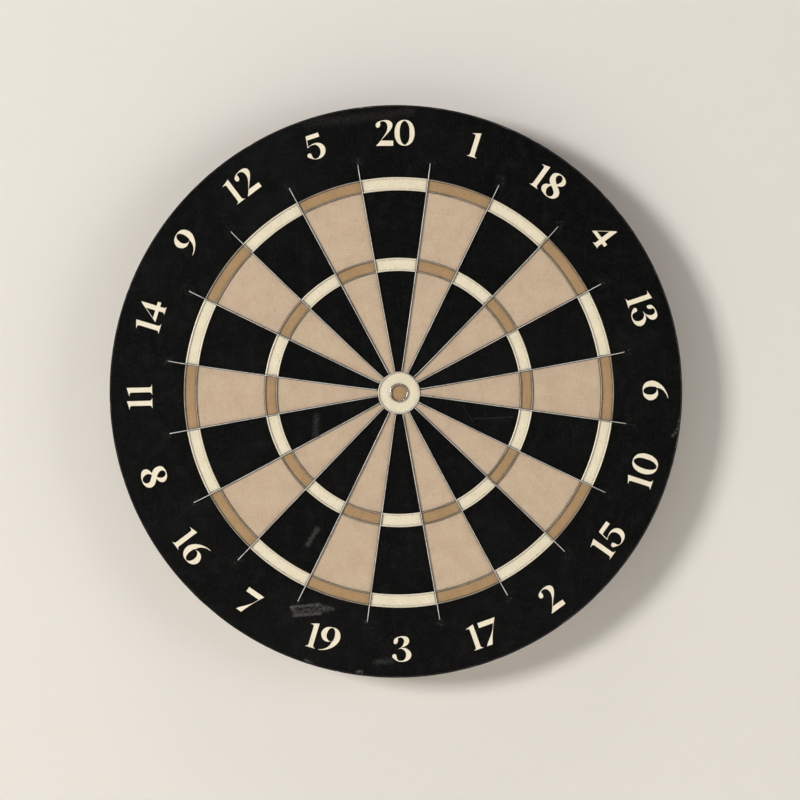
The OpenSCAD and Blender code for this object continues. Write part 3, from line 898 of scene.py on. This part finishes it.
def flat_mesh(curve):
    """The curve's mesh as points and faces, and the curve is thrown away."""
    holder = bpy.data.objects.new("outline", curve)
    bpy.context.scene.collection.objects.link(holder)
    bpy.context.view_layer.update()
    mesh = bpy.data.meshes.new_from_object(holder.evaluated_get(bpy.context.evaluated_depsgraph_get()))
    points = np.empty(len(mesh.vertices) * 3)
    mesh.vertices.foreach_get("co", points)
    faces = [list(face.vertices) for face in mesh.polygons]
    bpy.data.objects.remove(holder)
    bpy.data.meshes.remove(mesh)
    return points.reshape(-1, 3), faces


def score_mesh(score, angle):
    """The digits of a score on the face. Up is away from the target, or towards it for the lower half,
    and right is a quarter turn clockwise from up."""
    digits = str(score)
    gap = PAIR_GAPS.get(score, 0)
    contours = []
    x = 0
    for digit in digits:
        contours += [[type(p)((p[0] + x, p[1])) for p in contour] for contour in DIGITS[digit]]
        x += digit_width(digit) + gap
    points, faces = flat_mesh(outline_curve(contours, 1.0))
    unit = digit_height / GRID_HEIGHT
    away = outwards(np.array(angle))
    up = -away if score in UPRIGHT else away
    right = np.array([up[1], -up[0]])
    across = (points[:, 0] - (x - gap) / 2) * unit
    along = (points[:, 1] - GRID_HEIGHT / 2) * unit
    flat_points = score_centre + score_r * away + across[:, None] * right + along[:, None] * up
    height = np.where(points[:, 2] > 0, ink_depth, -ink_sink)
    return on_face(flat_points, height), faces


score_ink = ink_finish("score ink", screen(241, 232, 209), screen(226, 213, 186), 0.0, 0.0)
score_parts = []
for k, score in enumerate(SCORES):
    slip = SCORE_SLIP[score] * MM / score_r
    score_parts.append(score_mesh(score, k * wedge + score_turn + slip))
score_points, score_faces = joined(score_parts)
new_piece("score_print", score_points, score_faces, score_ink, smooth=False)
print("scores", len(score_parts), "faces", len(score_faces))

# %% [markdown]
# ## The black face
# The surround and the black wedges are the face sheet itself, painted satin black. The paint has gone
# cloudy with age, has a faint upright grain, dust in its pores, grey haze round the tips of the wires,
# and rubs that belong to this board: streaks under the 19, short ones in black wedges, a faint one along
# the top, and bare spots near the edge.

# %% Finish: black face
RUBS = [  # start and end (x, z) in mm, width in mm, how broken up, how bright
    ((-86, -168), (-64, -166.4), 1.8, 0.38, 0.6),
    ((-66, -167), (-53, -170.4), 2.6, 0.46, 0.4),
    ((-85, -169), (-83, -173), 3.0, 0.42, 0.45),
    ((-84, -174.9), (-63, -173.6), 2.0, 0.38, 0.55),
    ((-80, -171.4), (-58, -170.4), 4.4, 0.45, 0.4),
    ((-72, -119), (-64, -107), 3.2, 0.42, 0.42),
    ((-64, -33), (-63, -18), 4.0, 0.48, 0.3),
    ((60, -23), (92, -22), 0.7, 0.44, 0.2),
    ((52, -12), (60, -25), 0.7, 0.46, 0.15),
    ((-66, 212), (16, 220), 6.0, 0.46, 0.12),
    ((217, -40), (221, -34.7), 2.0, 0.5, 0.8),
    ((221, -34.7), (223.2, -23), 1.4, 0.5, 0.6),
    ((-75.6, -209.9), (-70.2, -213), 1.8, 0.48, 0.8),
    ((-35, -219.8), (-31.5, -220.3), 2.0, 0.46, 0.8),
    ((-20, -213), (-8, -212), 4.0, 0.48, 0.3),
]
face_finish, shader, here = new_material("black face")
big_clouds = cloudy(here, 60 * MM, 0.42, 0.72)
small_clouds = cloudy(here, 9 * MM, 0.45, 0.75)
fibre = grainy(here, 0.7 * MM, 16 * MM)
mottled = noise(here, 2.2 * MM, 5.0)
weave = grainy(here, 1.0 * MM, 2.6 * MM)
black = tint(big_clouds, screen(6, 6, 6), screen(13, 13, 13))
black = tint(small_clouds, black, screen(21, 21, 21), 0.5)
black = tint(soft_step(fibre, 0.5, 0.8), black, screen(36, 36, 35), 0.3)
black = tint(soft_step(weave, 0.48, 0.7), black, screen(30, 30, 29), 0.6)
wires = use(near_wires, here)
haze = times(wires["Tips"], soft_step(mottled, 0.45, 0.7))
black = tint(haze, black, screen(62, 61, 58), 0.6)
dust = use(specks, here, Cell=5 * MM, Share=0.35, Width=0.06)["Mask"]
black = tint(dust, black, screen(96, 94, 90), 0.2)
scratched = use(specks, here, Cell=11 * MM, Stretch=4.0, Slant=-0.7, Share=0.2, Width=0.02)["Mask"]
black = tint(scratched, black, screen(96, 95, 92), 0.3)
for start, end, wide, broken, bright in RUBS:
    ends = {"Start": (start[0] * MM, 0, start[1] * MM), "End": (end[0] * MM, 0, end[1] * MM)}
    rub = use(mark, here, Width=wide * MM, Broken=broken, **ends)["Mask"]
    black = tint(rub, black, screen(98, 97, 94), bright)
fill(shader, {
    "Base Color": black,
    "Roughness": spread(small_clouds, 0.34, 0.44),
    "Specular IOR Level": 0.1,
})
emboss(shader, plus(fibre, mottled), 0.05 * MM, 0.5)


def repaint(node, material):
    """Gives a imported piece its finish."""
    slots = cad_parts[node].data.materials
    slots.clear()
    slots.append(material)


repaint("face_sheet", face_finish)

# %% [markdown]
# ## The edge band
# A steel strip runs round the board and holds its layers. Its front edge is rolled over to a round lip
# that stands a little proud of the face, and knocks have worn the paint off along it. It is a profile
# carried round a circle, and the knocks are small dents that only go inwards.

# %% Edge band
band_t = board_r - layer_r
band_steps = 1440
lip_r = band_t / 2
rear_ease = 0.3 * MM
side_rows = 8
dent_count = 34
dent_depth_mm = (0.05, 0.3)
dent_width_mm = (0.8, 4.0)
dent_fade = 4 * MM


def band_profile():
    """The strip's section as (in from the outside, y): up the outside, round the front lip, down the
    inside and back along the rear edge, which is eased."""
    lip = np.linspace(0, math.pi, 13)
    front = band_low.y + lip_r
    side_y = np.linspace(band_high.y - rear_ease, front, side_rows)
    outside = np.stack([np.zeros(side_rows), side_y], axis=1)
    rounded = np.stack([lip_r - lip_r * np.cos(lip[1:-1]), front - lip_r * np.sin(lip[1:-1])], axis=1)
    inside = np.stack([np.full(side_rows, band_t), side_y[::-1]], axis=1)
    rear = np.array([[band_t - rear_ease, band_high.y], [rear_ease, band_high.y]])
    return np.concatenate([outside, rounded, inside, rear])


dent_angle = rng.uniform(0, 2 * math.pi, dent_count)
dent_depth = rng.uniform(*dent_depth_mm, dent_count) * MM
dent_width = rng.uniform(*dent_width_mm, dent_count) * MM
profile = band_profile()
around = np.linspace(0, 2 * math.pi, band_steps, endpoint=False)
gap = np.abs((around[:, None] - dent_angle[None, :] + math.pi) % (2 * math.pi) - math.pi) * board_r
dented = (dent_depth * np.exp(-((gap / dent_width) ** 2))).max(axis=1)
at_lip = np.clip((band_low.y + dent_fade - profile[:, 1]) / dent_fade, 0, 1)
in_from_edge = profile[:, 0][None, :] + dented[:, None] * at_lip[None, :]
band_radius = board_r - in_from_edge
away = outwards(around)
band_y = np.broadcast_to(profile[:, 1], band_radius.shape)
band_axes = [band_radius * away[:, :1], band_y, band_radius * away[:, 1:]]
band_points = np.stack(band_axes, axis=-1).reshape(-1, 3)
band_faces = quads_between(band_steps, len(profile), True, True).tolist()

band_finish, shader, here = new_material("worn band paint")
parts = axes(here)
lip_near = soft_step(parts[1], band_low.y + 3 * MM, band_low.y)
patchy = cloudy(here, 14 * MM, 0.56, 0.7)
fine = noise(here, 0.8 * MM, 5.0)
inside = soft_step(off_axis(parts[0], parts[2]), board_r - 0.45 * MM, board_r - 0.75 * MM)
worn = times(lip_near, patchy, soft_step(fine, 0.46, 0.6), inside)
side_cloud = cloudy(here, 22 * MM, 0.4, 0.75)
paint = tint(side_cloud, screen(12, 12, 12), screen(22, 22, 22))
# Painted highlight: a lighter grey line round the inner side of the front lip, where the rounded edge would
# catch the light.
paint = tint(times(lip_near, inside), paint, screen(50, 51, 54), 0.5)
scuffs = soft_step(noise(here, 5 * MM, 6.0, 0.7), 0.62, 0.7)
paint = tint(scuffs, paint, screen(96, 94, 90), 0.35)
fill(shader, {
    "Base Color": tint(worn, paint, screen(128, 120, 106)),
    "Metallic": times(worn, 0.5),
    "Roughness": spread(fine, 0.36, 0.56),
    "Specular IOR Level": 0.2,
})
emboss(shader, calc("SUBTRACT", fine, worn), 0.06 * MM, 0.5)
new_piece("band", band_points, band_faces, band_finish, replaces=["edge_band"])
print("band", len(band_faces), "faces, deepest dent", round(float(dented.max()) * 1000, 2), "mm")

# %% [markdown]
# ## Behind the face
# The layers are shown as they were packed, and each gets a finish of its own: the back board is raw
# hardboard with the print of the wire mesh that it was pressed on, the core is pressed fibre, the target
# sheet is rolled steel. The bolt, its washer and the screws can be looked at closely from behind, so they
# are shown as copies with eased edges, which catch the light as real edges do. The bush, the bracket and
# the pads are shown in the same way.

# %% Finishes: layers
board_finish, shader, here = new_material("hardboard")
parts = axes(here)
mesh_pitch = 1.6 * MM
ribs = [calc("SINE", times(parts[k], 2 * math.pi / mesh_pitch)) for k in (0, 2)]
weave = times(*ribs)
stained = cloudy(here, 70 * MM, 0.38, 0.72)
flecks = noise(here, 1.1 * MM, 6.0, 0.7)
chips = soft_step(noise(here, 3.5 * MM, 5.0, 0.75), 0.5, 0.64)
rubbed = use(specks, here, Cell=34 * MM, Stretch=6.0, Slant=0.5, Share=0.5, Width=0.015)
wood = tint(flecks, screen(98, 70, 46), screen(150, 114, 80))
wood = tint(chips, wood, screen(84, 60, 40), 0.5)
wood = tint(rubbed["Mask"], wood, screen(176, 146, 112), 0.5)
wood = tint(stained, wood, screen(92, 68, 48), 0.45)
wood = tint(spread(weave, 0.5, 1.0), wood, screen(70, 50, 34), 0.25)
fill(shader, {"Base Color": wood, "Roughness": spread(flecks, 0.72, 0.92), "Specular IOR Level": 0.25})
emboss(shader, plus(times(weave, 0.5), flecks), 0.15 * MM, 0.7)
repaint("back_board", board_finish)

core_finish, shader, here = new_material("pressed fibre")
strands = grainy(here, 0.5 * MM, 5 * MM)
clumps = noise(here, 4 * MM, 5.0)
mixed = times(plus(strands, clumps), 0.5)
fibres = tint(mixed, screen(150, 120, 84), screen(200, 170, 128))
fill(shader, {"Base Color": fibres, "Roughness": spread(clumps, 0.8, 0.95)})
emboss(shader, strands, 0.2 * MM, 0.8)
repaint("fibre_core", core_finish)


WELD = 0.002 * MM
FLAT = math.radians(0.5)
SHARP = math.radians(35)


def eased_copy(node, name, material, width, body="board"):
    """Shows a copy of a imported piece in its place: the loose triangles are joined, flat fields become
    single faces, the round sides are shaded smooth, and a bevel of a width eases the edges."""
    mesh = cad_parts[node].data.copy()
    shape = bmesh.new()
    shape.from_mesh(mesh)
    bmesh.ops.remove_doubles(shape, verts=shape.verts, dist=WELD)
    bmesh.ops.dissolve_limit(shape, angle_limit=FLAT, verts=shape.verts, edges=shape.edges)
    shape.to_mesh(mesh)
    shape.free()
    mesh.polygons.foreach_set("use_smooth", [True] * len(mesh.polygons))
    mesh.set_sharp_from_angle(angle=SHARP)
    mesh.materials.clear()
    mesh.materials.append(material)
    piece = bpy.data.objects.new(name, mesh)
    bpy.context.scene.collection.objects.link(piece)
    bevel = piece.modifiers.new("eased edges", "BEVEL")
    bevel.width = width
    bevel.segments = 2
    bevel.limit_method = "ANGLE"
    bevel.angle_limit = SHARP
    bevel.harden_normals = True
    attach(piece, body)
    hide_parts(node)
    print(name, len(mesh.polygons), "faces before its bevel")


def metal_finish(name, bright, dark, size, rough, brushed=None):
    """Bare or plated metal: its colour drifts between two tones in clouds of a size, and brushing or
    turning marks, if any, come from stretched grain."""
    material, shader, here = new_material(name)
    drift = cloudy(here, size, 0.36, 0.7)
    fine = noise(here, size / 12, 4.0)
    marks = fine
    if brushed:
        marks = grainy(here, brushed, 12 * brushed)
    uneven = times(plus(fine, drift), 0.5)
    fill(shader, {
        "Base Color": tint(drift, bright, dark, 0.8),
        "Metallic": 0.95,
        "Roughness": spread(uneven, rough - 0.1, rough + 0.12),
    })
    emboss(shader, marks, size / 400, 0.5)
    return material


rolled_tones = [screen(178, 181, 184), screen(140, 142, 144)]
sheet_finish = metal_finish("rolled steel", *rolled_tones, 30 * MM, 0.4, 0.4 * MM)
repaint("steel_target_sheet", sheet_finish)
turned_tones = [screen(188, 190, 192), screen(140, 140, 138)]
bolt_finish = metal_finish("turned steel", *turned_tones, 5 * MM, 0.32, 0.12 * MM)
zinc_finish = metal_finish("zinc plate", screen(196, 196, 190), screen(150, 146, 128), 4 * MM, 0.38)
repaint("tee_nut", zinc_finish)
eased_copy("hanger_bolt", "hanging_bolt", bolt_finish, 0.25 * MM)
eased_copy("bolt_washer", "flat_washer", zinc_finish, 0.15 * MM)
eased_copy("spacer_screws", "pad_screws", zinc_finish, 0.15 * MM)

# %% [markdown]
# The bush is natural nylon, a little grey where it rubs. The bracket is painted like the band, with its
# corners rubbed bare. The pads are moulded rubber with a dusty bloom.

# %% Finishes: bush, bracket and pads
nylon_finish, shader, here = new_material("nylon")
rubbed = cloudy(here, 4 * MM, 0.45, 0.7)
fine = noise(here, 0.6 * MM, 4.0)
fill(shader, {
    "Base Color": tint(rubbed, screen(226, 223, 210), screen(184, 180, 166), 0.5),
    "Roughness": spread(fine, 0.4, 0.6),
})
emboss(shader, fine, 0.03 * MM, 0.4)
eased_copy("hanger_bush", "nylon_bush", nylon_finish, 0.25 * MM, "hanger")

bracket_finish, shader, here = new_material("bracket paint")
bracket_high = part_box("wall_bracket")[1]
parts = axes(here)
top_edge = soft_step(calc("ABSOLUTE", parts[2]), bracket_high.z - 1.2 * MM, bracket_high.z)
side_edge = soft_step(calc("ABSOLUTE", parts[0]), bracket_high.x - 1.2 * MM, bracket_high.x)
edges = calc("MAXIMUM", top_edge, side_edge)
fine = noise(here, 0.7 * MM, 5.0)
bare = times(edges, soft_step(fine, 0.46, 0.6))
orange_peel = noise(here, 1.2 * MM, 2.0)
drift = cloudy(here, 14 * MM, 0.4, 0.72)
paint = tint(drift, screen(40, 40, 42), screen(58, 58, 59))
fill(shader, {
    "Base Color": tint(bare, paint, screen(150, 150, 150)),
    "Metallic": bare,
    "Roughness": spread(orange_peel, 0.32, 0.5),
})
emboss(shader, calc("SUBTRACT", orange_peel, times(bare, 0.5)), 0.08 * MM, 0.5)
eased_copy("wall_bracket", "fork_bracket", bracket_finish, 0.3 * MM, "bracket")

rubber_finish, shader, here = new_material("moulded rubber")
bloom = cloudy(here, 10 * MM, 0.4, 0.75)
pores = noise(here, 0.4 * MM, 4.0)
fill(shader, {
    "Base Color": tint(bloom, screen(36, 36, 36), screen(70, 69, 66), 0.6),
    "Roughness": spread(pores, 0.7, 0.9),
    "Specular IOR Level": 0.3,
})
emboss(shader, pores, 0.08 * MM, 0.6)
for side in ("top", "left", "right"):
    eased_copy("spacer_pad_" + side, "rubber_pad_" + side, rubber_finish, 0.5 * MM)
print("finishes", len(bpy.data.materials))

# %% [markdown]
# ## Stage and light
# A plain pale wall and floor are only there to catch the shadow. Seen from behind they are clear, and
# they let light through from behind too, so that the board's back can be looked at.

# %% Stage
stage_finish, shader, here = new_material("pale stage")
stage_tone = screen(226, 222, 215)
fill(shader, {"Base Color": stage_tone, "Roughness": 0.9, "Specular IOR Level": 0.1})
tree = stage_finish.node_tree
clear = put(tree, "BsdfTransparent")
behind = put(tree, "NewGeometry").outputs["Backfacing"]
shadow = put(tree, "LightPath").outputs["Is Shadow Ray"]
hidden = calc("MAXIMUM", behind, shadow)
see_through = put(tree, "MixShader", {0: hidden, 1: shader.outputs[0], 2: clear.outputs[0]})
stage_output = next(n for n in tree.nodes if n.type == "OUTPUT_MATERIAL")
fill(stage_output, {"Surface": see_through.outputs[0]})


def stage_plane(name, corners):
    """One big quad, from its corners in order."""
    mesh = bpy.data.meshes.new(name)
    mesh.from_pydata(corners, [], [(0, 1, 2, 3)])
    plane = bpy.data.objects.new(name, mesh)
    bpy.context.scene.collection.objects.link(plane)
    mesh.materials.append(stage_finish)


wall_y = 0.4 * MM
wall_top = 2.6
floor_z = -0.9
floor_front = -5
stage_half = 3
left, right = -stage_half, stage_half
wall_corners = [(left, floor_z), (right, floor_z), (right, wall_top), (left, wall_top)]
floor_corners = [(left, floor_front), (right, floor_front), (right, stage_half), (left, stage_half)]
stage_plane("wall", [(x, wall_y, z) for x, z in wall_corners])
stage_plane("floor", [(x, y, floor_z) for x, y in floor_corners])

# %% [markdown]
# The main light is a big soft box far away on the left, a little above the board's middle, so that it
# lights the board evenly and casts a soft shadow to the right. A weaker one fills from the right, and two
# more show the back and top when the board is looked at from there. The room is dim, so that the black
# paint stays black.

# %% Lights
def softbox(name, place, size, watts, warmth):
    """A square light that looks at the board from a place."""
    data = bpy.data.lights.new(name, "AREA")
    data.size = size
    data.energy = watts
    data.color = warmth
    light = bpy.data.objects.new(name, data)
    light.location = place
    light.rotation_mode = "QUATERNION"
    light.rotation_quaternion = (-Vector(place)).to_track_quat("-Z", "Y")
    bpy.context.scene.collection.objects.link(light)


softbox("key", (-3.7, -3.7, 1.0), 1.3, 206, (1.0, 0.995, 0.985))
softbox("fill", (4.2, -2.6, 0.2), 2.4, 58, (0.98, 0.99, 1.0))
softbox("back", (2.2, 3.6, 1.6), 2.0, 150, (1.0, 0.99, 0.97))
softbox("top", (0.0, -0.6, 4.2), 2.0, 60, (1.0, 1.0, 1.0))

world = bpy.data.worlds.new("room")
bpy.context.scene.world = world
world.use_nodes = True
tree = world.node_tree
tree.nodes.clear()
dim = put(tree, "Background", {"Color": (1.0, 0.99, 0.97, 1.0), "Strength": 0.09})
pale = put(tree, "Background", {"Color": stage_tone, "Strength": 1.0})
seen = put(tree, "LightPath").outputs["Is Camera Ray"]
room = put(tree, "MixShader", {0: seen, 1: dim.outputs[0], 2: pale.outputs[0]})
put(tree, "OutputWorld", {"Surface": room.outputs[0]})
